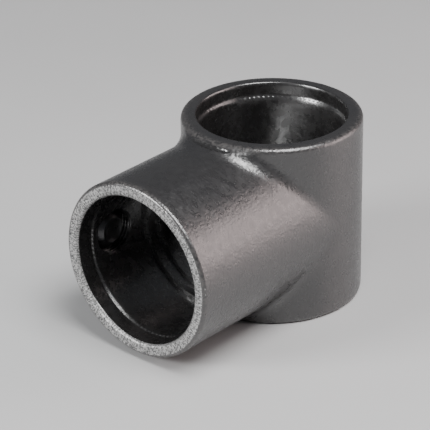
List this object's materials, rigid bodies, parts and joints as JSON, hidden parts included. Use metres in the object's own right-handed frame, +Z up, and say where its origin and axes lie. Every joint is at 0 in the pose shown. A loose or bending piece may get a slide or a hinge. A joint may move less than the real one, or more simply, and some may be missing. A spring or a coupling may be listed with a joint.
{
  "type": "tube clamp tee fitting",
  "caption": "Short cast tee that holds a tube end in its side socket at right angles to a tube through its sleeve, each gripped by a cup-point grub screw.",
  "frame": {"origin": "where the sleeve's axis and the socket's axis cross", "axes": "+Z up along the through sleeve, -Y out of the side socket's mouth, grub screws on the -X side"},
  "size_m": [0.0659, 0.0971, 0.0632],
  "materials": {
    "coated_iron": "black satin coating over fine cast texture",
    "screw_steel": "blackened steel, lightly oiled"
  },
  "bodies": {
    "fitting": {"tee_body": "coated_iron"},
    "socket_screw": {"socket_grub_screw": "screw_steel"},
    "sleeve_screw": {"sleeve_grub_screw": "screw_steel"}
  },
  "joints": [
    {"name": "socket_screw_travel", "type": "slide", "parent": "fitting", "child": "socket_screw", "axis": [1, 0, 0], "range_m": [-0.00401, 0.00267]},
    {"name": "sleeve_screw_travel", "type": "slide", "parent": "fitting", "child": "sleeve_screw", "axis": [1, 0, 0], "range_m": [-0.00401, 0.00267]}
  ]
}
